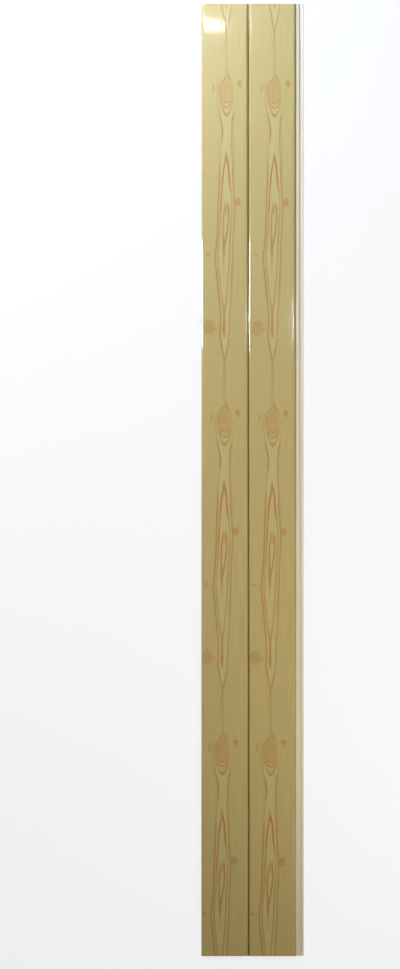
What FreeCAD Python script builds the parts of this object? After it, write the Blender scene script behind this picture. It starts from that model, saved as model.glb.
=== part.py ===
import FreeCAD, Part
import math
import os
import Sketcher
from FreeCAD import Vector

# Tongue-and-groove cladding board, one hollow extrusion of rigid PVC.
# Two 100 mm planks side by side with a groove between them.
# It lies face up: X across the board, Y along it, Z through its thickness.

doc = FreeCAD.newDocument("CladdingBoard")

# Driving dimensions in millimetres, angles in degrees.
# Positions across the board are measured from the tip of the left lip.
dimensions = [
    ("board_length", 2000, "length of the board as sold"),
    ("plank_width", 100, "module of one plank, two make the cover width"),
    ("thickness", 8, "back to face"),
    ("face_skin", 0.8, "wall under the printed face"),
    ("back_skin", 0.7, "wall of the back"),
    ("web", 0.45, "wall between two chambers"),
    ("web_pitch", 8.2, "spacing of the webs"),
    ("left_chambers", 9, "full chambers in the left plank"),
    ("right_chambers", 10, "full chambers in the right plank"),
    ("chamber_round", 0.4, "fillet in the corners of a chamber"),
    ("face_start", 4.5, "lip tip to where the face is flat"),
    ("groove_width", 11, "flat face to flat face across a groove"),
    ("groove_floor", 1.6, "height of the middle groove's floor"),
    ("shoulder_round", 4.5, "radius of the face into a groove"),
    ("shoulder_slope", 85, "slope of a groove's side"),
    ("toe_round", 0.3, "radius where the side meets the floor"),
    ("lip_round", 0.35, "radius of the lip tip's corners"),
    ("slot_depth", 8, "lip tip to the slot's inner wall"),
    ("slot_wall", 0.6, "wall behind the slot"),
    ("rear_lip_edge", 0.8, "lip tip to the rear lip's edge"),
    ("rear_lip_rise", 1, "raised back that clears the next board's flange"),
    ("rear_lip_wall", 0.9, "thickness of the rear lip"),
    ("joggle_end", 16.4, "where the raised back has come down to the wall"),
    ("joggle_slope", 45, "slope of that step"),
    ("tongue_root", 198.1, "outer face of the wall under the tongue"),
    ("tongue_tip", 206, "end of the tongue"),
    ("tongue_underside", 2.1, "height of the tongue's lower face"),
    ("tongue_top", 3.2, "height of the tongue's upper face, where the lip ends"),
    ("tongue_round", 0.5, "radius of the tongue nose's corners"),
    ("flange_tip", 215, "end of the nailing flange"),
    ("flange_wall", 0.9, "thickness of the nailing flange"),
    ("edge_round", 0.3, "radius of the flange's and rear lip's corners"),
    ("nail_line", 207.8, "centre of the nail line on the flange"),
    ("nail_line_width", 0.8, "width of the nail line's notch"),
    ("nail_line_depth", 0.3, "depth of the nail line's notch"),
]
sheet = doc.addObject("Spreadsheet::Sheet", "Dims")
for row, (alias, value, meaning) in enumerate(dimensions, 1):
    sheet.set("A%d" % row, meaning)
    sheet.set("B%d" % row, str(value))
    sheet.setAlias("B%d" % row, alias)
doc.recompute()

board = doc.addObject("PartDesign::Body", "Board")
board.Label = "cladding_board"
# The overall width, flange included, is centred on the origin.
board.setExpression("Placement.Base.x", "-Dims.flange_tip / 2")


def new_sketch(name):
    """A sketch of the cross-section, on the plane across the board's middle."""
    sketch = board.newObject("Sketcher::SketchObject", name)
    for feature in board.Origin.OriginFeatures:
        if feature.Role == "XZ_Plane":
            sketch.AttachmentSupport = [(feature, "")]
    sketch.MapMode = "FlatFace"
    return sketch


def bind(sketch, constraint, driver):
    """Add a dimension and drive it from the sheet."""
    index = sketch.addConstraint(constraint)
    sketch.setExpression("Constraints[%d]" % index, driver)


def draw_loop(sketch, corners):
    """Draw a closed loop of straight sides, counter-clockwise.

    A corner is (x, z) as drawn, or (x, z, radius, driver) where an arc
    tangent to both sides rounds it. Side i runs from corner i to the next.
    Returns the sides, and the arcs by corner.
    """
    count = len(corners)
    points = [Vector(corner[0], corner[1], 0) for corner in corners]
    leave = {}
    arrive = {}
    crown = {}
    for i, corner in enumerate(corners):
        leave[i] = arrive[i] = points[i]
        if len(corner) == 4:
            back = (points[i - 1] - points[i]).normalize()
            ahead = (points[(i + 1) % count] - points[i]).normalize()
            inward = (back + ahead).normalize()
            half = back.getAngle(ahead) / 2
            radius = corner[2]
            arrive[i] = points[i] + back * (radius / math.tan(half))
            leave[i] = points[i] + ahead * (radius / math.tan(half))
            crown[i] = points[i] + inward * (radius / math.sin(half) - radius)
    sides = []
    for i in range(count):
        line = Part.LineSegment(leave[i], arrive[(i + 1) % count])
        sides.append(sketch.addGeometry(line))
    arcs = {}
    for i, corner in enumerate(corners):
        if i not in crown:
            sketch.addConstraint(Sketcher.Constraint("Coincident", sides[i - 1], 2, sides[i], 1))
            continue
        arc = sketch.addGeometry(Part.Arc(arrive[i], crown[i], leave[i]))
        arcs[i] = arc
        first, last = 1, 2
        if not sketch.getPoint(arc, 1).isEqual(arrive[i], 0.01):
            first, last = 2, 1
        sketch.addConstraint(Sketcher.Constraint("Tangent", sides[i - 1], 2, arc, first))
        sketch.addConstraint(Sketcher.Constraint("Tangent", arc, last, sides[i], 1))
        bind(sketch, Sketcher.Constraint("Radius", arc, corner[2]), corner[3])
    return sides, arcs


def level(sketch, side, driver):
    """Hold a side level at a height above the back."""
    sketch.addConstraint(Sketcher.Constraint("Horizontal", side))
    height = sketch.Geometry[side].StartPoint.y
    bind(sketch, Sketcher.Constraint("DistanceY", -1, 1, side, 1, height), driver)


def upright(sketch, side, driver):
    """Hold a side upright at a position across the board."""
    sketch.addConstraint(Sketcher.Constraint("Vertical", side))
    position = sketch.Geometry[side].StartPoint.x
    bind(sketch, Sketcher.Constraint("DistanceX", -1, 1, side, 1, position), driver)


def slope(sketch, side, driver):
    """Hold a side at an angle, counted from +X in the direction it runs."""
    run = sketch.Geometry[side].EndPoint - sketch.Geometry[side].StartPoint
    bind(sketch, Sketcher.Constraint("Angle", side, math.atan2(run.y, run.x)), driver)


def place(sketch, item, spot, driver):
    """Hold an end (1 or 2) or a centre (3) at a position across the board."""
    position = sketch.getPoint(item, spot).x
    bind(sketch, Sketcher.Constraint("DistanceX", -1, 1, item, spot, position), driver)


def hollow(name, sketch):
    """Run a chamber through the whole length of the board."""
    pocket = board.newObject("PartDesign::Pocket", name)
    pocket.Profile = sketch
    pocket.SideType = "Symmetric"
    pocket.Type = "ThroughAll"
    sketch.Visibility = False
    return pocket


# The outline of the extrusion.
# Both edges of the face and both sides of the middle groove share one
# shoulder: a round, a straight slope and a small round at the foot. So two
# boards pushed together show a groove like the one in the middle.
shoulder = (4.5, "Dims.shoulder_round")
toe = (0.3, "Dims.toe_round")
edge = (0.3, "Dims.edge_round")
nose = (0.5, "Dims.tongue_round")
lip = (0.35, "Dims.lip_round")
outline = new_sketch("Outline")
sides, arcs = draw_loop(outline, [
    (16.4, 0),
    (215, 0) + edge,
    (215, 0.9) + edge,
    (208.2, 0.9),
    (207.8, 0.6),
    (207.4, 0.9),
    (198.1, 0.9),
    (198.1, 2.1),
    (206, 2.1) + nose,
    (206, 3.2) + nose,
    (198.04, 3.2) + toe,
    (197.62, 8) + shoulder,
    (100.38, 8) + shoulder,
    (99.82, 1.6) + toe,
    (98.18, 1.6) + toe,
    (97.62, 8) + shoulder,
    (0.38, 8) + shoulder,
    (-0.03, 3.36) + lip,
    (0.77, 3.29) + lip,
    (1.11, 7.2, 3.7, "Dims.shoulder_round - Dims.face_skin"),
    (8, 7.2),
    (8, 1.9),
    (0.8, 1.9) + edge,
    (0.8, 1) + edge,
    (15.4, 1),
])
(
    back,
    flange_end,
    flange_nailing,
    notch_right,
    notch_left,
    flange_inner,
    root,
    tongue_under,
    tongue_end,
    tongue_top,
    slope_edge,
    face_right,
    slope_right,
    floor,
    slope_left,
    face_left,
    lip_slope,
    lip_end,
    lip_inside,
    slot_top,
    slot_end,
    rear_lip_top,
    rear_lip_end,
    rear_lip_under,
    joggle,
) = sides

# The back, which lies on the battens, and the nailing flange.
outline.addConstraint(Sketcher.Constraint("Horizontal", back))
outline.addConstraint(Sketcher.Constraint("PointOnObject", back, 1, -1))
place(outline, back, 1, "Dims.joggle_end")
upright(outline, flange_end, "Dims.flange_tip")
level(outline, flange_nailing, "Dims.flange_wall")
level(outline, flange_inner, "Dims.flange_wall")
place(outline, notch_right, 1, "Dims.nail_line + Dims.nail_line_width / 2")
place(outline, notch_left, 1, "Dims.nail_line")
place(outline, notch_left, 2, "Dims.nail_line - Dims.nail_line_width / 2")
bind(
    outline,
    Sketcher.Constraint("DistanceY", notch_left, 1, notch_left, 2, 0.3),
    "Dims.nail_line_depth",
)

# The tongue, above a gap for the next board's rear lip.
upright(outline, root, "Dims.tongue_root")
level(outline, tongue_under, "Dims.tongue_underside")
upright(outline, tongue_end, "Dims.tongue_tip")
level(outline, tongue_top, "Dims.tongue_top")

# The face, its two shoulders and the middle groove.
level(outline, face_right, "Dims.thickness")
level(outline, face_left, "Dims.thickness")
level(outline, floor, "Dims.groove_floor")
slope(outline, slope_edge, "180 - Dims.shoulder_slope")
slope(outline, slope_left, "180 - Dims.shoulder_slope")
slope(outline, slope_right, "Dims.shoulder_slope - 180")
place(outline, face_right, 1, "2 * Dims.plank_width + Dims.face_start - Dims.groove_width")
place(outline, face_right, 2, "Dims.plank_width + Dims.face_start")
place(outline, face_left, 1, "Dims.plank_width + Dims.face_start - Dims.groove_width")
place(outline, face_left, 2, "Dims.face_start")

# The lip, a hook of the face's own wall, over the slot for the next tongue.
slope(outline, lip_slope, "Dims.shoulder_slope - 180")
outline.addConstraint(Sketcher.Constraint("Perpendicular", lip_slope, lip_end))
outline.addConstraint(Sketcher.Constraint("Parallel", lip_slope, lip_inside))
place(outline, arcs[sides.index(lip_end)], 3, "Dims.lip_round")
level(outline, slot_top, "Dims.thickness - Dims.face_skin")
place(outline, slot_top, 1, "Dims.face_start")
upright(outline, slot_end, "Dims.slot_depth")

# The rear lip and the step where the back comes down to the wall.
level(outline, rear_lip_top, "Dims.rear_lip_rise + Dims.rear_lip_wall")
upright(outline, rear_lip_end, "Dims.rear_lip_edge")
level(outline, rear_lip_under, "Dims.rear_lip_rise")
slope(outline, joggle, "-Dims.joggle_slope")

extrusion = board.newObject("PartDesign::Pad", "Extrusion")
extrusion.Profile = outline
extrusion.SideType = "Symmetric"
extrusion.setExpression("Length", "Dims.board_length")
outline.Visibility = False


def draw_box_chamber(sketch, left, right, bottom, top):
    """A rectangular chamber with rounded corners, each side (as drawn, driver)."""
    corner = (0.4, "Dims.chamber_round")
    low, high = bottom[0], top[0]
    box, rounds = draw_loop(sketch, [
        (left[0], low) + corner,
        (right[0], low) + corner,
        (right[0], high) + corner,
        (left[0], high) + corner,
    ])
    level(sketch, box[0], bottom[1])
    upright(sketch, box[1], right[1])
    level(sketch, box[2], top[1])
    upright(sketch, box[3], left[1])


def draw_shoulder_chamber(sketch, left, right, tangent):
    """A chamber under a shoulder, whose roof and side follow the shoulder."""
    corner = (0.4, "Dims.chamber_round")
    loop, rounds = draw_loop(sketch, [
        (left[0], 0.7) + corner,
        (right, 0.7) + corner,
        (tangent[0] + 3.39, 7.2, 3.7, "Dims.shoulder_round - Dims.face_skin"),
        (left[0], 7.2) + corner,
    ])
    level(sketch, loop[0], "Dims.back_skin")
    slope(sketch, loop[1], "180 - Dims.shoulder_slope")
    level(sketch, loop[2], "Dims.thickness - Dims.face_skin")
    place(sketch, loop[2], 1, tangent[1])
    upright(sketch, loop[3], left[1])


# Where the rows of chambers start and end.
groove_centre = "(Dims.plank_width + Dims.face_start - Dims.groove_width / 2)"
left_start = "(Dims.joggle_end + Dims.web)"
left_end = "(%s + Dims.left_chambers * Dims.web_pitch)" % left_start
right_start = "(2 * %s - %s + Dims.web)" % (groove_centre, left_end)
right_end = "(%s + Dims.right_chambers * Dims.web_pitch)" % right_start
floor_of_chambers = (0.7, "Dims.back_skin")
roof_of_chambers = (7.2, "Dims.thickness - Dims.face_skin")

# The chamber over the raised back, between the slot's wall and the step.
raised_section = new_sketch("RaisedChamberSection")
draw_box_chamber(
    raised_section,
    (8.6, "Dims.slot_depth + Dims.slot_wall"),
    (16.4, "Dims.joggle_end"),
    (1.7, "Dims.rear_lip_rise + Dims.back_skin"),
    roof_of_chambers,
)
hollow("RaisedChamber", raised_section)

# The row of chambers in the left plank.
left_section = new_sketch("LeftChamberSection")
draw_box_chamber(
    left_section,
    (16.85, left_start),
    (24.6, left_start + " + Dims.web_pitch - Dims.web"),
    floor_of_chambers,
    roof_of_chambers,
)
left_chamber = hollow("LeftChamber", left_section)
left_row = board.newObject("PartDesign::LinearPattern", "LeftRow")
left_row.Originals = [left_chamber]
left_row.Direction = (left_section, ["H_Axis"])
left_row.setExpression("Length", "(Dims.left_chambers - 1) * Dims.web_pitch")
left_row.setExpression("Occurrences", "Dims.left_chambers")
board.Tip = left_row

# The row of chambers in the right plank.
right_section = new_sketch("RightChamberSection")
draw_box_chamber(
    right_section,
    (107.8, right_start),
    (115.55, right_start + " + Dims.web_pitch - Dims.web"),
    floor_of_chambers,
    roof_of_chambers,
)
right_chamber = hollow("RightChamber", right_section)
right_row = board.newObject("PartDesign::LinearPattern", "RightRow")
right_row.Originals = [right_chamber]
right_row.Direction = (right_section, ["H_Axis"])
right_row.setExpression("Length", "(Dims.right_chambers - 1) * Dims.web_pitch")
right_row.setExpression("Occurrences", "Dims.right_chambers")
board.Tip = right_row

# The two chambers under the middle groove, drawn from the groove's centre.
groove_section = new_sketch("GrooveChamberSection")
groove_section.setExpression("AttachmentOffset.Base.x", groove_centre)
draw_shoulder_chamber(
    groove_section,
    (-8.35, left_end + " - " + groove_centre),
    -1.54,
    (-5.5, "-Dims.groove_width / 2"),
)
groove_chamber = hollow("GrooveChamber", groove_section)
groove_pair = board.newObject("PartDesign::Mirrored", "GroovePair")
groove_pair.Originals = [groove_chamber]
groove_pair.MirrorPlane = (groove_section, ["V_Axis"])
board.Tip = groove_pair

# The chamber under the right shoulder.
edge_section = new_sketch("EdgeChamberSection")
draw_shoulder_chamber(
    edge_section,
    (189.8, right_end),
    197.46,
    (193.5, "2 * Dims.plank_width + Dims.face_start - Dims.groove_width"),
)
hollow("EdgeChamber", edge_section)

doc.recompute()

# Nothing is written unless every feature has recomputed.
for item in doc.Objects:
    if "Invalid" in item.State or "Error" in item.State:
        raise RuntimeError("%s failed: %s" % (item.Name, item.State))
    if item.TypeId == "Sketcher::SketchObject" and not item.FullyConstrained:
        raise RuntimeError("%s is not fully constrained" % item.Name)
if board.Shape.isNull() or not board.Shape.isValid():
    raise RuntimeError("the board's shape is not valid")

box = board.Shape.BoundBox
chambers = 4 + int(sheet.left_chambers) + int(sheet.right_chambers)
print("size %.2f x %.2f x %.2f" % (box.XLength, box.YLength, box.ZLength))
print("section %.1f mm2" % (board.Shape.Volume / box.YLength))
print("solids %d, faces %d, chambers %d" % (len(board.Shape.Solids), len(board.Shape.Faces), chambers))

os.makedirs("parts", exist_ok=True)
board.Shape.exportStep("parts/cladding_board.step")
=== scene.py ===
import math

import bmesh
import bpy
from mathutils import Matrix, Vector


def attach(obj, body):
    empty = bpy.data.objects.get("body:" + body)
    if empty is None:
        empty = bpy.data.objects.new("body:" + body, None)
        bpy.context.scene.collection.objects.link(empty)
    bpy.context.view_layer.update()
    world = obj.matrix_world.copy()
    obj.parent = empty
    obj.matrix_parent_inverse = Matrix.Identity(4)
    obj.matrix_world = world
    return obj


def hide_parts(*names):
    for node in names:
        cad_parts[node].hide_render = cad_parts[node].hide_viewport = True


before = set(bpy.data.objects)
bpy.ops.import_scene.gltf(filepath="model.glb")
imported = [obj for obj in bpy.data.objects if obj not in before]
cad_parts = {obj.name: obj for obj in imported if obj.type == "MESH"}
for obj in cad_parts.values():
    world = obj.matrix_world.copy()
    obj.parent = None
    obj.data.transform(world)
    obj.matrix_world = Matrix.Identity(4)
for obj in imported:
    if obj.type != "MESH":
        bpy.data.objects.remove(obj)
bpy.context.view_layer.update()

# The extrusion.
# One board of hollow rigid PVC, drawn through a die as a long profile: two
# skins with thin webs between them, a hooked lip on the left edge, a thin
# tongue over a nailing flange on the right. It is then sawn to length.
LENGTH = 2.0  # m
WIDTH, THICKNESS = 215, 8  # mm, over the lip and the flange
MIDDLE = 107.5  # mm from the lip's tip to the middle of the whole width
PITCH = 8.2  # mm from web to web
FIRST_WEB = 16.6  # mm from the lip's tip to the middle of the first web
INNER_BACK, INNER_FACE = 0.7, 7.2  # heights of the skins' inner sides, in mm
CORNER = 0.4  # mm, the radius of a chamber's corners
FOOT, BROW = 3.96, 3.39  # mm past the flat's end, a shoulder chamber's corners
ROWS = 64  # parts along the length, so that the face can be slightly wavy

# The section's corners in mm: across, height and radius. They start where
# the printed film starts on the tongue, and run over the face to the lip.
OUTLINE = [
    (199, 3.2, 0), (198.04, 3.2, 0.3), (197.62, 8, 4.5),
    (100.38, 8, 4.5), (99.82, 1.6, 0.3), (98.18, 1.6, 0.3), (97.62, 8, 4.5),
    (0.38, 8, 4.5), (-0.03, 3.36, 0.35), (0.77, 3.29, 0.35),
    (1.11, 7.2, 3.7), (8, 7.2, 0), (8, 1.9, 0),
    (0.8, 1.9, 0.3), (0.8, 1, 0.3), (15.4, 1, 0),
    (16.4, 0, 0), (215, 0, 0.3), (215, 0.9, 0.3),
    (208.2, 0.9, 0), (207.8, 0.6, 0), (207.4, 0.9, 0),
    (198.1, 0.9, 0), (198.1, 2.1, 0), (206, 2.1, 0.5), (206, 3.2, 0.5),
]


def box_chamber(left, right, bottom=INNER_BACK):
    """A chamber between two webs."""
    return [
        (left, bottom, CORNER), (right, bottom, CORNER),
        (right, INNER_FACE, CORNER), (left, INNER_FACE, CORNER),
    ]


def shoulder_chamber(web, flat_end, fall):
    """A chamber under a shoulder that falls to the right (1) or left (-1)."""
    return [
        (web, INNER_BACK, CORNER), (flat_end + FOOT * fall, INNER_BACK, CORNER),
        (flat_end + BROW * fall, INNER_FACE, 3.7), (web, INNER_FACE, CORNER),
    ]


# One chamber behind the slot, nine in the left plank and ten in the right
# one, and one under each shoulder, in mm from the lip's tip.
chambers = [box_chamber(8.6, 16.4, 1.7)]
for n in range(10):
    if n < 9:
        chambers.append(box_chamber(16.85 + PITCH * n, 24.6 + PITCH * n))
    chambers.append(box_chamber(107.8 + PITCH * n, 115.55 + PITCH * n))
chambers.append(shoulder_chamber(90.65, 93.5, 1))
chambers.append(shoulder_chamber(107.35, 104.5, -1))
chambers.append(shoulder_chamber(189.8, 193.5, 1))

extrusion = bmesh.new()
girth = extrusion.verts.layers.float.new("girth")  # mm round the section
tube = extrusion.verts.layers.int.new("tube")  # 0 outside, then the chambers
SHARP = math.radians(38)  # edges sharper than this stay crisp


def draw_section(corners):
    """Draws a closed wire across the front end and rounds its corners."""
    wire = []
    for across, height, radius in corners:
        place = ((across - MIDDLE) / 1000, -LENGTH / 2, height / 1000)
        wire.append(extrusion.verts.new(place))
    for start, end in zip(wire, wire[1:] + wire[:1]):
        extrusion.edges.new((start, end))
    for corner, (across, height, radius) in zip(wire, corners):
        if radius:
            sides = [edge.other_vert(corner).co - corner.co for edge in corner.link_edges]
            half_turn = sides[0].angle(sides[1]) / 2
            reach = radius / 1000 / math.tan(half_turn)
            bmesh.ops.bevel(
                extrusion, geom=[corner], offset=reach, offset_type="OFFSET",
                segments=8 if radius > 2 else 3, profile=0.5,
                affect="VERTICES", material=-1,
            )


def lay_tape(start, number):
    """Marks a loop's vertices with its number and their place round it."""
    here, run = start, 0
    edge = min(start.link_edges, key=lambda side: side.other_vert(start).co.x)
    while run == 0 or here != start:
        here[tube], here[girth] = number, run
        run += edge.calc_length() * 1000
        here = edge.other_vert(here)
        edge = [side for side in here.link_edges if side != edge][0]
    return run


def end_of(edge, side):
    """Whether an edge lies in the front end (-1) or the back end (1)."""
    return all(vertex.co.y * side > LENGTH / 2 - 1e-6 for vertex in edge.verts)


# The outside, with the face divided finely enough to sink between the webs.
FLAT = 0.00799  # m, only the flat face lies higher
FLAT_WIDTH = 0.05  # m, only a plank's flat face is wider
CUTS = 64
draw_section(OUTLINE)
face = [
    edge for edge in extrusion.edges
    if edge.calc_length() > FLAT_WIDTH and edge.verts[0].co.z > FLAT
]
bmesh.ops.subdivide_edges(extrusion, edges=face, cuts=CUTS)
print_start, height = OUTLINE[0][:2]
start = Vector(((print_start - MIDDLE) / 1000, -LENGTH / 2, height / 1000))
nearest = min(extrusion.verts, key=lambda vertex: (vertex.co - start).length)
round_of = {0: lay_tape(nearest, 0)}
print_length = min(extrusion.verts, key=lambda vertex: vertex.co.x)[girth]
made = bmesh.ops.extrude_edge_only(extrusion, edges=extrusion.edges[:])
far = [item for item in made["geom"] if isinstance(item, bmesh.types.BMVert)]
bmesh.ops.translate(extrusion, verts=far, vec=(0, LENGTH, 0))
along = [edge for edge in extrusion.edges if edge.calc_length() > LENGTH / 2]
bmesh.ops.subdivide_edges(extrusion, edges=along, cuts=ROWS - 1, use_grid_fill=True)

# The chambers, straight through.
for number, corners in enumerate(chambers, 1):
    before = set(extrusion.edges)
    draw_section(corners)
    loop = [edge for edge in extrusion.edges if edge not in before]
    round_of[number] = lay_tape(loop[0].verts[0], number)
    made = bmesh.ops.extrude_edge_only(extrusion, edges=loop)
    far = [item for item in made["geom"] if isinstance(item, bmesh.types.BMVert)]
    bmesh.ops.translate(extrusion, verts=far, vec=(0, LENGTH, 0))

# The sawn ends, which close the walls round the open chambers.
for side in (-1, 1):
    rim = [edge for edge in extrusion.edges if end_of(edge, side)]
    bmesh.ops.triangle_fill(extrusion, edges=rim, use_beauty=True)
bmesh.ops.recalc_face_normals(extrusion, faces=extrusion.faces[:])

# The melt shrinks as it cools, so the face sinks between the webs by about
# 0.02 mm, more in some places than in others, and shows a faint ripple.
DIP, UNEVEN, RIPPLE = 0.016, 0.008, 0.02  # mm
for vertex in extrusion.verts:
    across, along = vertex.co.x * 1000 + MIDDLE, vertex.co.y
    if vertex.co.z > FLAT:
        depth = DIP + UNEVEN * math.sin(9 * along + 0.05 * across)
        sink = depth * (0.5 - 0.5 * math.cos(2 * math.pi * (across - FIRST_WEB) / PITCH))
        sink += RIPPLE + RIPPLE * math.sin(23 * along + 0.031 * across)
        vertex.co.z -= sink / 1000

# The map: the printed face lies in two columns of a metre each, and the
# plain surfaces, chambers and ends share the third.
MARGIN = 0.005
COLUMN = 0.345  # from one column to the next
PRINTED_WIDTH, PLAIN_WIDTH, SAWN_WIDTH = 0.335, 0.305, 0.3
OUTSIDE = 0.545  # how much of the third column the plain outside takes
CHAMBER, CHAMBER_STEP = 0.0135, 0.0155  # one chamber, and on to the next
FRONT_END, BACK_END, SAWN_HEIGHT = 0.93, 0.965, 0.028
FILM_LEVEL = 0.0015  # m, the film covers what faces up above this
ON_FILM, ON_BARE, ON_SAWN = range(3)  # the materials' order
layout = extrusion.loops.layers.uv.new("OFBake")
for skin in extrusion.faces:
    number = skin.verts[0][tube]
    whole = round_of[number]
    rounds = [vertex[girth] for vertex in skin.verts]
    crosses = max(rounds) - min(rounds) > whole / 2
    sawn = abs(skin.normal.y) > 0.9
    printed = (
        number == 0 and not sawn and skin.calc_center_median().z > FILM_LEVEL
        and sum(rounds) / len(rounds) < print_length and not crosses
    )
    skin.material_index = ON_SAWN if sawn else ON_FILM if printed else ON_BARE
    skin.smooth = not sawn
    second = skin.calc_center_median().y > 0
    for corner in skin.loops:
        spot = corner.vert.co
        way = corner.vert[girth]
        if crosses and way < whole / 2:
            way += whole
        run = spot.y / LENGTH + 0.5
        if sawn:
            column = 2 * COLUMN + SAWN_WIDTH * (spot.x * 1000 + MIDDLE) / WIDTH
            height = FRONT_END if spot.y < 0 else BACK_END
            height += SAWN_HEIGHT * spot.z * 1000 / THICKNESS
        elif printed:
            column = MARGIN + PRINTED_WIDTH * way / print_length
            column += COLUMN if second else 0
            height = MARGIN + (1 - 2 * MARGIN) * (2 * run - (1 if second else 0))
        elif number == 0:
            column = (way - print_length) / (whole - print_length)
            column = 2 * COLUMN + PLAIN_WIDTH * column
            height = MARGIN + OUTSIDE * run
        else:
            column = 2 * COLUMN + PLAIN_WIDTH * way / whole
            height = OUTSIDE + CHAMBER_STEP * number + CHAMBER * run
        corner[layout].uv = (column, height)
for edge in extrusion.edges:
    edge.smooth = edge.calc_face_angle(0) < SHARP

mesh = bpy.data.meshes.new("Board")
extrusion.to_mesh(mesh)
extrusion.free()
board = bpy.data.objects.new("Board", mesh)
bpy.context.scene.collection.objects.link(board)


def to_linear(colour):
    """The linear colour for an sRGB hex value."""
    parts = [int(colour[i:i + 2], 16) / 255 for i in (0, 2, 4)]
    return [p / 12.92 if p <= 0.04045 else ((p + 0.055) / 1.055) ** 2.4 for p in parts] + [1]


def add(material, kind, feeds=None, **settings):
    """Adds a node. Feeds go to its inputs: a node or socket links, a value sets."""
    node = material.node_tree.nodes.new("ShaderNode" + kind)
    for name, value in settings.items():
        setattr(node, name, value)
    for name, feed in (feeds or {}).items():
        if isinstance(feed, bpy.types.Node):
            feed = feed.outputs[0]
        if isinstance(feed, bpy.types.NodeSocket):
            material.node_tree.links.new(feed, node.inputs[name])
        else:
            node.inputs[name].default_value = feed
    return node


def new_material(name):
    """A material whose nodes are all cleared away."""
    material = bpy.data.materials.new(name)
    material.use_nodes = True
    material.node_tree.nodes.clear()
    return material


# The printed face.
# uPVC under a printed film and a clear lacquer: pale, yellowish pine with a
# glassy gloss. A roller repeats the pattern down each plank, so every knot
# comes back after one turn.
film = new_material("uPVC, pine print under gloss lacquer")
REPEAT = 692  # mm, once round the roller
PRINT_TOP = 119.9  # mm from the top end to where a turn of the roller starts
SKEW = 0.0061  # the film runs slightly askew, in mm per mm
MIDWAY = 922  # mm from the top end to where the skew is nil
PLANK = 101  # mm from the left plank's print to the right one's
LOWER = 1.5  # mm that the right plank's print lies lower
GROOVE = 99  # mm from the lip's tip to the middle of the groove

# Across a plank (u), down it (fall) and down the roller (t), all in mm.
place = add(film, "SeparateXYZ", {0: add(film, "TexCoord").outputs["Object"]})
across = add(film, "Math", {0: place.outputs["X"], 1: 1000, 2: MIDDLE}, operation="MULTIPLY_ADD")
down = add(film, "Math", {0: place.outputs["Y"], 1: -1000, 2: 1000}, operation="MULTIPLY_ADD")
right = add(film, "Math", {0: across, 1: GROOVE}, operation="GREATER_THAN")
left_edge = add(film, "Math", {0: right, 1: -PLANK, 2: across}, operation="MULTIPLY_ADD")
fall = add(film, "Math", {0: right, 1: -LOWER, 2: down}, operation="MULTIPLY_ADD")
from_midway = add(film, "Math", {0: fall, 1: MIDWAY}, operation="SUBTRACT")
u = add(film, "Math", {0: from_midway, 1: SKEW, 2: left_edge}, operation="MULTIPLY_ADD")
turned = add(film, "Math", {0: fall, 1: PRINT_TOP}, operation="SUBTRACT")
t = add(film, "Math", {0: turned, 1: REPEAT}, operation="FLOORED_MODULO")
turn = add(film, "Math", {0: t, 1: REPEAT}, operation="DIVIDE")

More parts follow.
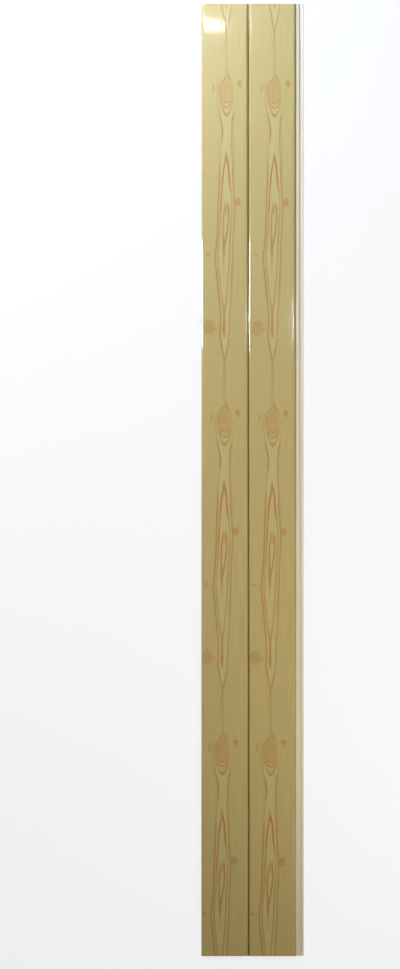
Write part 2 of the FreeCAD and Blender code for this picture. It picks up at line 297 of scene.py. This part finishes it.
# Growth rings come in pairs that run down both sides of the heart, meet in
# points and part again. For the left and the right line: how far across the
# plank it runs, in mm, and how dark it is, by mm down the roller.
SPAN = 80  # mm, the furthest across
DARKEST = 1.2
rings = {
    "outer": (
        [(0, 47.7), (10, 47.8), (18, 48.1), (27, 49.6), (32, 51), (40, 25.6), (53, 27.2),
         (65, 28), (85, 30), (100, 32.3), (112, 34), (119, 35.7), (134, 38.7), (147, 40.2),
         (165, 39), (180, 37), (200, 35.7), (217, 35.2), (240, 34.9), (264, 33.9),
         (302, 32.8), (330, 32.3), (345, 31.9), (370, 30.4), (388, 28.8), (410, 26.8),
         (422, 27), (439, 28.9), (463, 31.8), (486, 33.9), (505, 36), (520, 37.4),
         (540, 38.6), (560, 38.5), (575, 37.6), (590, 39.8), (600, 41.5), (610, 43.2),
         (620, 45), (630, 47.2), (650, 47), (670, 47.4), (692, 47.7)],
        [(0, 0.05), (28, 0.05), (33, 0), (43, 0.12), (60, 0.25), (80, 0.4), (100, 0.5),
         (120, 0.78), (140, 1), (165, 0.66), (190, 0.32), (210, 0.48), (230, 0.81),
         (275, 0.87), (300, 0.84), (330, 0.9), (360, 0.9), (390, 0.85), (420, 0.78), (450, 0.86),
         (480, 0.84), (520, 0.78), (550, 0.72), (580, 0.8), (605, 0.84), (628, 0.8),
         (640, 0.3), (655, 0.05), (692, 0.05)],
        [(0, 47.7), (10, 47.8), (18, 48.1), (27, 49.6), (32, 51), (40, 72.5), (53, 71.3),
         (63, 70.6), (78, 69), (90, 67.3), (100, 65.3), (110, 63.5), (121, 61.7), (134, 60.5),
         (153, 60), (180, 60.2), (195, 60.9), (210, 61.9), (230, 62.4), (245, 62.8),
         (262, 64), (283, 65.6), (300, 66.8), (321, 66.6), (340, 65.9), (373, 64),
         (415, 63.3), (443, 62), (480, 60.6), (505, 59.8), (520, 59), (540, 58),
         (560, 57.8), (580, 56.5), (590, 55.5), (600, 54), (610, 52), (620, 50),
         (630, 47.2), (650, 47), (670, 47.4), (692, 47.7)],
        [(0, 0.05), (28, 0.05), (33, 0), (43, 0.05), (60, 0.12), (80, 0.2), (100, 0.3),
         (112, 0.6), (120, 0.79), (140, 0.72), (165, 0.76), (190, 0.66), (230, 0.8),
         (250, 0.8), (275, 0.7), (330, 0.72), (360, 0.67), (420, 0.64), (450, 0.76),
         (480, 0.56), (580, 0.54), (605, 0.76), (628, 0.8), (640, 0.3), (655, 0.05),
         (692, 0.05)],
    ),
    "heart": (
        [(183, 47.8), (193, 47.8), (205, 46.8), (214, 45.7), (225, 43.8), (237, 42.1),
         (250, 41), (262, 40.2), (290, 38.8), (317, 37.4), (340, 37), (373, 34.8),
         (392, 33.3), (409, 32.5), (425, 33), (448, 35.6), (471, 38), (490, 40.2),
         (505, 42.2), (515, 44.3), (525, 46.4), (540, 46.3), (555, 45.7), (565, 46.2),
         (577, 47.1), (590, 47.1)],
        [(183, 0), (190, 0.3), (197, 0.8), (212, 0.85), (222, 1.1), (240, 1.15), (255, 1),
         (275, 0.82), (300, 1), (318, 0.8), (330, 0.66), (360, 0.7), (390, 0.56), (420, 0.66),
         (450, 0.7), (480, 0.58), (505, 0.72), (550, 0.84), (577, 0.8), (583, 0)],
        [(183, 47.8), (193, 47.8), (205, 50.4), (215, 51.9), (225, 53.3), (235, 53.9),
         (245, 54.7), (255, 55.8), (265, 57.3), (275, 58.8), (285, 60.2), (300, 60.6),
         (322, 60.6), (346, 59.6), (361, 58.4), (383, 57.3), (405, 57), (426, 56.2),
         (448, 54.8), (473, 52.8), (495, 50.9), (505, 49.9), (515, 48.6), (525, 46.4),
         (540, 46.3), (555, 45.7), (565, 46.2), (577, 47.1), (590, 47.1)],
        [(183, 0), (190, 0.3), (197, 0.9), (212, 1.1), (230, 1.2), (255, 1), (275, 0.65),
         (292, 0.5), (330, 0.62), (360, 0.7), (390, 0.68), (450, 0.64),
         (480, 0.6), (505, 0.7), (550, 0.84), (577, 0.8), (583, 0)],
    ),
    "core": (
        [(293, 49.3), (299, 48.2), (304, 46.2), (310, 45.8), (319, 44.4), (330, 43.4),
         (345, 43.2), (378, 43.2), (389, 43.9), (403, 44.4), (450, 44.6)],
        [(292, 0), (300, 0.5), (310, 0.78), (330, 0.83), (360, 0.8), (390, 0.88), (402, 0.85),
         (418, 0.46), (432, 0.25), (450, 0)],
        [(293, 49.3), (297, 51.3), (301, 52.9), (307, 53.4), (315, 54), (326, 54.5),
         (336, 54), (348, 52.7), (360, 51.2), (372, 49.2), (384, 47.2), (394, 45.3),
         (403, 44.4), (450, 44.6)],
        [(292, 0), (300, 0.5), (310, 0.85), (330, 0.84), (360, 0.95), (390, 0.88),
         (402, 0.85), (418, 0.46), (432, 0.25), (450, 0)],
    ),
}


def trace(points, top):
    """A curve over one turn of the roller, from points in mm and a top value."""
    curve = add(film, "FloatCurve", {"Factor": 1, "Value": turn})
    line = curve.mapping.curves[0]
    while len(line.points) < len(points):
        line.points.new(0.5, 0.5)
    for point, (run, value) in zip(line.points, points):
        point.location = (run / REPEAT, value / top)
        point.handle_type = "AUTO_CLAMPED"
    curve.mapping.update()
    return add(film, "Math", {0: curve, 1: top}, operation="MULTIPLY")


def stroke(off, strength, thin=0.4, wide=2.9):
    """A printed line: ink that fades with the distance from it, in mm."""
    off = add(film, "Math", {0: off}, operation="ABSOLUTE")
    soft = add(
        film, "MapRange", {0: off, 1: thin, 2: wide, 3: 1, 4: 0},
        interpolation_type="SMOOTHSTEP",
    )
    return add(film, "Math", {0: soft, 1: strength}, operation="MULTIPLY")


ink = None
inside = {}
for name, (left_line, left_dark, right_line, right_dark) in rings.items():
    from_left = add(film, "Math", {0: u, 1: trace(left_line, SPAN)}, operation="SUBTRACT")
    from_right = add(film, "Math", {0: trace(right_line, SPAN), 1: u}, operation="SUBTRACT")
    inside[name] = add(film, "Math", {0: from_left, 1: from_right}, operation="MINIMUM")
    for off, dark in ((from_left, left_dark), (from_right, right_dark)):
        line = stroke(off, trace(dark, DARKEST))
        ink = line if ink is None else add(film, "Math", {0: ink, 1: line}, operation="MAXIMUM")

# The large knot's outline, dark where it is pointed at the top. Its
# body is tan down to where the hanging rings close it.
body = None
for side, edge, strength in (
    (1, [(24, 51), (30.5, 51), (32, 48.8), (35, 45.2), (40, 41.5), (44, 38.2), (47, 34.8),
         (51, 31.8), (60, 30.6), (76, 31.2), (85, 33.3), (95, 37.3), (105, 41.6),
         (116, 47.6), (124, 48.7)],
     [(28, 0), (31, 0.75), (36, 0.65), (43, 0.55), (47, 0.25), (58, 0.15), (92, 0)]),
    (-1, [(24, 51), (30.5, 51), (32, 53), (35, 54.8), (39, 56.2), (43, 57.8), (47, 60.6),
          (51, 62.6), (60, 63.5), (76, 63.2), (85, 61.8), (95, 58.7), (105, 54.8),
          (116, 49.8), (124, 48.7)],
     [(28, 0), (31, 0.75), (37, 0.65), (42, 0.4), (47, 0.15), (60, 0.12), (92, 0)]),
):
    off = add(film, "Math", {0: u, 1: trace(edge, SPAN)}, operation="SUBTRACT")
    rim = stroke(off, trace(strength, 0.75), 0.3, 3.6)
    ink = add(film, "Math", {0: ink, 1: rim}, operation="MAXIMUM")
    off = add(film, "Math", {0: off, 1: side}, operation="MULTIPLY")
    body = off if body is None else add(film, "Math", {0: body, 1: off}, operation="MINIMUM")
body = add(
    film, "MapRange", {0: body, 1: -0.8, 2: 3.4, 3: 0, 4: 1},
    interpolation_type="SMOOTHSTEP",
)
filled = trace([(28, 0), (34, 0.35), (42, 0.68), (72, 0.7), (90, 0.42), (104, 0.25), (118, 0)], 1)
body = add(film, "Math", {0: body, 1: filled}, operation="MULTIPLY")

# Under it hang four rings, whose sides run up along it. The last is nearly
# a V: how far down, how steeply its sides rise, and how dark it is.
HEART_LINE = 48.9  # mm across the plank
NARROWEST = 0.3  # mm, never nought, as it is divided by
off_heart = add(film, "Math", {0: u, 1: HEART_LINE}, operation="SUBTRACT")
off_heart = add(film, "Math", {0: off_heart}, operation="ABSOLUTE")
off_heart = add(film, "Math", {0: off_heart, 1: NARROWEST}, operation="MAXIMUM")
arcs = None
for bottom, steep, power, strength in (
    (78.5, 0.13, 1.9, 0.35), (87.6, 0.2, 1.72, 0.72),
    (97.4, 0.0865, 2.08, 0.75), (115.2, 0.37, 1.69, 0.95),
):
    rise = add(film, "Math", {0: off_heart, 1: power}, operation="POWER")
    rise = add(film, "Math", {0: rise, 1: steep}, operation="MULTIPLY")
    slope = add(film, "Math", {0: rise, 1: off_heart}, operation="DIVIDE")
    slope = add(film, "Math", {0: slope, 1: power}, operation="MULTIPLY")
    lean = add(film, "CombineXYZ", {0: 1, 1: slope})
    lean = add(film, "VectorMath", {0: lean}, operation="LENGTH").outputs["Value"]
    off = add(film, "Math", {0: t, 1: rise})
    off = add(film, "Math", {0: off, 1: bottom}, operation="SUBTRACT")
    off = add(film, "Math", {0: off, 1: lean}, operation="DIVIDE")
    arc = stroke(off, strength, 0.3, 2.7)
    arcs = arc if arcs is None else add(film, "Math", {0: arcs, 1: arc}, operation="MAXIMUM")

# They fade away from the heart line, and start under the knot's middle.
near = add(film, "MapRange", {0: off_heart, 1: 5, 2: 17, 3: 1, 4: 0.25})
below = add(film, "MapRange", {0: t, 1: 58, 2: 86, 3: 0, 4: 1})
arcs = add(film, "Math", {0: arcs, 1: near}, operation="MULTIPLY")
arcs = add(film, "Math", {0: arcs, 1: below}, operation="MULTIPLY")
ink = add(film, "Math", {0: ink, 1: arcs}, operation="MAXIMUM")

# The stem between two turns, wide, soft and olive.
off = add(film, "Math", {0: inside["outer"]}, operation="ABSOLUTE")
stem = add(
    film, "MapRange", {0: off, 1: 1, 2: 5, 3: 1, 4: 0},
    interpolation_type="SMOOTHSTEP",
)
shown = trace([(0, 0.65), (29, 0.7), (33, 0), (626, 0), (640, 0.7), (655, 0.95),
               (670, 0.8), (692, 0.65)], 1)
olive = add(film, "Math", {0: stem, 1: shown}, operation="MULTIPLY")
tan = body

# Knots and solid dark places: down and across the plank in mm, half length,
# half width, how tan (or, below 0, olive) they are and how much ink they
# have. Their outlines are uneven, and the large ones have faint rings.
WAVER = 0.35  # per mm: dents about 3 mm wide
LARGE = 10  # mm of half width
KNOT_RINGS = 18  # radians from the middle to the outline: nearly three rings
on_roller = add(film, "CombineXYZ", {0: u, 1: t})
waver = add(
    film, "TexNoise", {"Vector": on_roller, "Scale": WAVER, "Detail": 2},
    noise_dimensions="2D",
)
waver = add(film, "MapRange", {0: waver, 1: 0.3, 2: 0.7, 3: -0.12, 4: 0.12})
for run, way, half_length, half_width, fill, dark in (
    (61, 48, 18, 14, 0.3, 0.16),  # the large knot's middle
    (61, 35, 14, 3.8, 0.8, 0.24),  # its redder left side
    (46, 75.5, 6, 5.6, 0.75, 0.43),  # the round knot right of it
    (53, 77, 4.5, 2.8, -0.8, 0.12),  # its tail
    (57, 20.6, 9.5, 2.8, -0.95, 0),  # the faint oval on the left
    (296, 73, 9.8, 7, 0.65, 0.31),  # the fuzzy knot on the outer ring
    (406.5, 11.4, 3.8, 4.8, -0.95, 0),  # the faint round one
    (560, 14.5, 17.2, 13.4, 0.7, 0.2),  # the large round one
    (563, 29.6, 3.6, 3.6, -0.7, 0),  # its tail
    (112.5, HEART_LINE, 5, 3.4, 0, 0.7),  # the bottom of the last hanging ring
    (203, 48, 11, 2.6, 0, 0.85),  # the top of the heart
    (311, 49.6, 12, 5, 0, 0.45),  # the top of the core
    (391, 44.6, 27, 3.4, 0, 0.66),  # the foot of the core
    (524, 46.4, 12, 3, 0, 0.75),  # where the heart's lines meet
    (543, 46.3, 32, 2.5, 0, 0.75),  # the foot of the heart
    (562, 46.2, 17, 3.5, 0, 0.85),  # where it is thicker
):
    away = add(film, "VectorMath", {0: on_roller, 1: (way, run, 0)}, operation="SUBTRACT")
    away = add(film, "VectorMath", {0: away, 1: (half_width, half_length, 1)}, operation="DIVIDE")
    away = add(film, "VectorMath", {0: away}, operation="LENGTH").outputs["Value"]
    away = add(film, "Math", {0: away, 1: waver})
    heavy = dark
    if fill:
        disc = add(
            film, "MapRange", {0: away, 1: 1.12, 2: 0.8, 3: 0, 4: abs(fill)},
            interpolation_type="SMOOTHSTEP",
        )
        if fill > 0:
            tan = add(film, "Math", {0: tan, 1: disc}, operation="MAXIMUM")
        else:
            olive = add(film, "Math", {0: olive, 1: disc}, operation="MAXIMUM")
    if half_width > LARGE:
        ripple = add(film, "Math", {0: away, 1: KNOT_RINGS}, operation="MULTIPLY")
        ripple = add(film, "Math", {0: ripple}, operation="SINE")
        heavy = add(film, "MapRange", {0: ripple, 1: -1, 2: 1, 3: 0, 4: 1.6 * dark})
    solid = add(
        film, "MapRange", {0: away, 1: 1.15, 2: 0.55, 3: 0, 4: heavy},
        interpolation_type="SMOOTHSTEP",
    )
    ink = add(film, "Math", {0: ink, 1: solid}, operation="MAXIMUM")

# Wood between the rings: long fibres a millimetre or two wide, which show
# more on a plank's right, greener between the outer rings, warmer outside.
PINE = to_linear("b7a468")
GREENER_PINE = to_linear("b9aa6e")
OLIVE_STAIN = to_linear("f6edd7")[:3]  # what a faint stain leaves of the wood's colour
KNOT_STAIN = to_linear("fcebd5")[:3]  # and what a knot leaves of it
FIBRE_SCALE = (0.5, 0.008, 0)  # per mm across and down: 2 mm wide, 125 mm long
grain = add(film, "CombineXYZ", {0: u, 1: fall})
grain = add(film, "VectorMath", {0: grain, 1: FIBRE_SCALE}, operation="MULTIPLY")
fibre = add(
    film, "TexNoise", {"Vector": grain, "Scale": 1, "Detail": 3, "Roughness": 0.6},
    noise_dimensions="2D",
)
strength = add(film, "MapRange", {0: u, 1: 20, 2: 80, 3: 0.06, 4: 0.14})
fibre = add(film, "MapRange", {0: fibre, 1: 0.3, 2: 0.7, 3: -0.5, 4: 0.5}, clamp=False)
fibre = add(film, "Math", {0: fibre, 1: strength, 2: 1}, operation="MULTIPLY_ADD")
between = add(
    film, "MapRange", {0: inside["outer"], 1: -5, 2: 5, 3: 0, 4: 1},
    interpolation_type="SMOOTHSTEP",
)
greener = trace([(0, 0.5), (28, 0.4), (36, 0), (60, 0.1), (110, 1), (590, 1), (640, 0.6),
                 (692, 0.5)], 1)
between = add(film, "Math", {0: between, 1: greener}, operation="MULTIPLY")
ground = add(film, "Mix", {0: between, 6: PINE, 7: GREENER_PINE}, data_type="RGBA")
ground = add(film, "VectorMath", {0: ground.outputs[2], "Scale": fibre}, operation="SCALE")
stained = add(film, "VectorMath", {0: ground, 1: OLIVE_STAIN}, operation="MULTIPLY")
wood = add(film, "Mix", {0: olive, 6: ground, 7: stained}, data_type="RGBA")
knotted = add(film, "VectorMath", {0: ground, 1: KNOT_STAIN}, operation="MULTIPLY")
wood = add(film, "Mix", {0: tan, 6: wood.outputs[2], 7: knotted}, data_type="RGBA")

# The ink is brown in the outer rings and redder from the heart inwards, and
# the roller lays it on a little unevenly.
BROWN_INK = to_linear("edc097")  # what it leaves of the wood's colour
RED_INK = to_linear("ecb599")
PATCHES = 2.2  # times as fine as the fibres: 1 mm wide, nearly 60 mm long
patchy = add(
    film, "TexNoise", {"Vector": grain, "Scale": PATCHES, "Detail": 1},
    noise_dimensions="2D",
)
patchy = add(film, "MapRange", {0: patchy, 1: 0.3, 2: 0.7, 3: 0.82, 4: 1.08})
ink = add(film, "Math", {0: ink, 1: patchy}, operation="MULTIPLY")
redder = None
for name, reach, where in (
    ("outer", -4, [(0, 0), (170, 0), (240, 0.5), (480, 0.5), (560, 0.2), (600, 0),
                   (692, 0)]),
    ("heart", -3, [(0, 0), (178, 0), (188, 1), (262, 1), (285, 0.3), (510, 0), (528, 1),
                   (585, 1), (600, 0), (692, 0)]),
    ("core", -3, [(0, 0), (285, 0), (300, 0.3), (350, 0.5), (380, 0.8), (410, 0.6),
                  (440, 0), (692, 0)]),
):
    part = add(film, "MapRange", {0: inside[name], 1: reach, 2: reach + 1.4, 3: 0, 4: 1})
    part = add(film, "Math", {0: part, 1: trace(where, 1)}, operation="MULTIPLY")
    if redder is None:
        redder = part
    else:
        redder = add(film, "Math", {0: redder, 1: part}, operation="MAXIMUM")
tone = add(film, "Mix", {0: redder, 6: BROWN_INK, 7: RED_INK}, data_type="RGBA")
inked = add(film, "VectorMath", {0: wood.outputs[2], 1: tone.outputs[2]}, operation="MULTIPLY")
tinted = add(film, "Mix", {0: ink, 6: wood.outputs[2], 7: inked}, data_type="RGBA")

# Down in the grooves, under about 6 mm, painted shade darkens the film.
GROOVE_SHADE = to_linear("dfd7b8")[:3]  # what is left of the film's colour there
painted_shade_mask = add(
    film, "MapRange", {0: place.outputs["Z"], 1: 0.0022, 2: 0.006, 3: 1, 4: 0},
    interpolation_type="SMOOTHSTEP",
)
shaded_film = add(film, "VectorMath", {0: tinted.outputs[2], 1: GROOVE_SHADE}, operation="MULTIPLY")
tinted = add(film, "Mix", {0: painted_shade_mask, 6: tinted.outputs[2], 7: shaded_film}, data_type="RGBA")
lacquered = add(
    film, "BsdfPrincipled",
    {"Base Color": tinted.outputs[2], "Roughness": 0.04, "IOR": 1.5},
)
add(film, "OutputMaterial", {0: lacquered})

# Bare PVC.
# The tongue, the flange, the back and the inside carry no print. Fine lines
# from the die run along the whole board, some dull and some shiny.
bare = new_material("uPVC, bare, as it leaves the die")
LINE_SCALE = (500, 2, 500)  # per m: lines 2 mm apart and half a metre long
drawn = add(bare, "TexCoord").outputs["Object"]
drawn = add(bare, "VectorMath", {0: drawn, 1: LINE_SCALE}, operation="MULTIPLY")
die_lines = add(bare, "TexNoise", {"Vector": drawn, "Scale": 1, "Detail": 3, "Roughness": 0.6})
cloudy = add(bare, "MapRange", {0: die_lines, 1: 0.3, 2: 0.7, 3: 0, 4: 1})
cream = add(
    bare, "Mix", {0: cloudy, 6: to_linear("dacfb2"), 7: to_linear("e2d9be")},
    data_type="RGBA",
)
dull = add(bare, "MapRange", {0: cloudy, 3: 0.3, 4: 0.42})
LINE_DEPTH = 0.00003  # m
scored = add(bare, "Bump", {"Height": die_lines, "Strength": 0.2, "Distance": LINE_DEPTH})
satin = add(
    bare, "BsdfPrincipled",
    {"Base Color": cream.outputs[2], "Roughness": dull, "IOR": 1.54, "Normal": scored},
)
add(bare, "OutputMaterial", {0: satin})

# The saw leaves the ends matt, with fine marks across the thickness.
sawn_end = new_material("uPVC, sawn")
MARK_SCALE = (2600, 1, 420)  # per m: marks 0.4 mm apart and over 2 mm high
toothed = add(sawn_end, "TexCoord").outputs["Object"]
toothed = add(sawn_end, "VectorMath", {0: toothed, 1: MARK_SCALE}, operation="MULTIPLY")
saw_marks = add(sawn_end, "TexNoise", {"Vector": toothed, "Scale": 1, "Detail": 2})
dusty = add(sawn_end, "MapRange", {0: saw_marks, 1: 0.3, 2: 0.7, 3: 0, 4: 1})
chalk = add(
    sawn_end, "Mix", {0: dusty, 6: to_linear("d8ceb2"), 7: to_linear("ece5d2")},
    data_type="RGBA",
)
MARK_DEPTH = 0.0001  # m
torn = add(sawn_end, "Bump", {"Height": saw_marks, "Strength": 0.6, "Distance": MARK_DEPTH})
chalky = add(
    sawn_end, "BsdfPrincipled",
    {"Base Color": chalk.outputs[2], "Roughness": 0.6, "IOR": 1.54, "Normal": torn},
)
add(sawn_end, "OutputMaterial", {0: chalky})

for finish in (film, bare, sawn_end):
    mesh.materials.append(finish)
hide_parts("cladding_board")
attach(board, "root")

# The floor.
# A studio floor in pale matt paint. The eye sees it nearly white, but the
# board's shadow still shows on it. It lies a hair under the board's back.
GAP = 0.0002  # m
WHITE_SHARE = 0.78  # of what is seen of it
WORLD = 0.12  # radiance of the room round it
sheet = bmesh.new()
bmesh.ops.create_grid(sheet, x_segments=1, y_segments=1, size=15)
bmesh.ops.translate(sheet, vec=(0, 0, -GAP), verts=sheet.verts)
floor_mesh = bpy.data.meshes.new("Floor")
sheet.to_mesh(floor_mesh)
sheet.free()
floor = bpy.data.objects.new("Floor", floor_mesh)
bpy.context.scene.collection.objects.link(floor)
paint = new_material("Studio floor, pale paint")
matt = add(paint, "BsdfDiffuse", {"Color": to_linear("e6e6e4")})
white = add(paint, "Emission", {"Color": to_linear("ffffff"), "Strength": 1})
path = add(paint, "LightPath")
seen = path.outputs["Is Camera Ray"]
for ray in ("Is Glossy Ray", "Is Transmission Ray"):
    seen = add(paint, "Math", {0: seen, 1: path.outputs[ray]}, operation="MAXIMUM")
share = add(paint, "Math", {0: seen, 1: WHITE_SHARE}, operation="MULTIPLY")
add(paint, "OutputMaterial", {0: add(paint, "MixShader", {0: share, 1: matt, 2: white})})
floor_mesh.materials.append(paint)

world = bpy.data.worlds.new("Studio")
world.use_nodes = True
room = world.node_tree.nodes["Background"]
room.inputs["Color"].default_value = (1, 1, 1, 1)
room.inputs["Strength"].default_value = WORLD
bpy.context.scene.world = world


# The lights.
# Softboxes, mostly on the left, whose light falls off from the top end down,
# and a sheen, a tube and lamps that the lacquer mirrors.
def hang_light(name, place, aim, width, length, radiance, turn=0, tint="ffffff"):
    """Hangs a soft rectangular light, aims it and turns it in its own plane."""
    data = bpy.data.lights.new(name, "AREA")
    data.shape = "RECTANGLE"
    data.size, data.size_y = width, length
    data.energy = radiance * math.pi * width * length
    data.color = to_linear(tint)[:3]
    light = bpy.data.objects.new(name, data)
    light.location = place
    light.rotation_euler = (Vector(aim) - Vector(place)).to_track_quat("-Z", "Y").to_euler()
    light.rotation_euler.rotate_axis("Z", math.radians(turn))
    light.visible_camera = False
    bpy.context.scene.collection.objects.link(light)
    return light


# These are polarised, so the lacquer doesn't mirror them.
for name, place, aim, width, length, radiance, tint in (
    ("Left softbox", (-1.3, 0.6, 1), (0, 0.6, 0), 0.4, 2.4, 9.4, "f9faff"),
    ("Top left softbox", (-0.5, 1.3, 0.6), (0, 1.2, 0), 0.3, 0.9, 18, "c0d6ff"),
    ("Low softbox", (0.8, -0.5, 0.7), (0, -0.5, 0), 0.3, 1, 7.1, "fff4ea"),
    ("Overhead softbox", (-0.1, 1.6, 2.4), (-0.1, 1.2, 0), 0.8, 0.8, 2.8, "fff4ea"),
):
    softbox = hang_light(name, place, aim, width, length, radiance, 0, tint)
    softbox.visible_glossy = False

# A veil for the faint sheen in the lacquer. It is strong at the top end, where
# it weakens from the left to the right, and fades steeply down the board.
STEEP = 7  # the power of its steep part
EVEN = 0.077  # the share that fades evenly
veil = hang_light("Veil", (-0.1, 0.225, 3), (-0.1, 0.225, 0), 0.8, 3.05, 6.5)
veil.visible_diffuse = False
veil.data.use_nodes = True
fade = veil.data
on_veil = add(fade, "SeparateXYZ", {0: add(fade, "NewGeometry").outputs["Parametric"]})
run = on_veil.outputs["Y"]
top = add(fade, "Math", {0: run, 1: STEEP}, operation="POWER")
side = add(fade, "MapRange", {0: on_veil.outputs["X"], 1: 0.5, 2: 0.86, 3: 1, 4: 0.1})
top = add(fade, "Math", {0: top, 1: side}, operation="MULTIPLY")
rest = add(fade, "Math", {0: run, 1: EVEN}, operation="MULTIPLY")
level = add(fade, "Math", {0: top, 1: 1 - EVEN, 2: rest}, operation="MULTIPLY_ADD")
emission = fade.node_tree.nodes["Emission"]
fade.node_tree.links.new(level.outputs[0], emission.inputs["Strength"])

# A tube over the top end, and lamps that the lacquered shoulders mirror.
hang_light("Tube", (-0.647, 1.3197, 2.6), (-0.647, 1.3197, 0), 1.2, 0.02, 60, -5.3)
hang_light("Right softbox", (1.4, 0.2, 1.1), (0, 0.2, 0), 0.7, 2.4, 0.4)
for name, place, aim, width, length, radiance, tint in (
    ("Far window", (-2.5, 0.51, 0.42), (0, 0.51, 0), 0.3, 0.22, 700, "c4ecff"),
    ("Lamp", (0.3, 0.466, 3), (0.3, 0.466, 0), 0.22, 0.07, 230, "e8ecff"),
):
    glint = hang_light(name, place, aim, width, length, radiance, 0, tint)
    glint.visible_diffuse = False

# The camera.
# It looks straight down from 8 m, so that the board's sides hardly show.
camera = bpy.data.objects.new("Camera", bpy.data.cameras.new("Camera"))
camera.data.lens = 141.5
camera.data.clip_end = 50  # m
camera.location = (-0.1104, -0.00945, 8.008)
bpy.context.scene.collection.objects.link(camera)
bpy.context.scene.camera = camera
bpy.context.scene.view_settings.view_transform = "Standard"
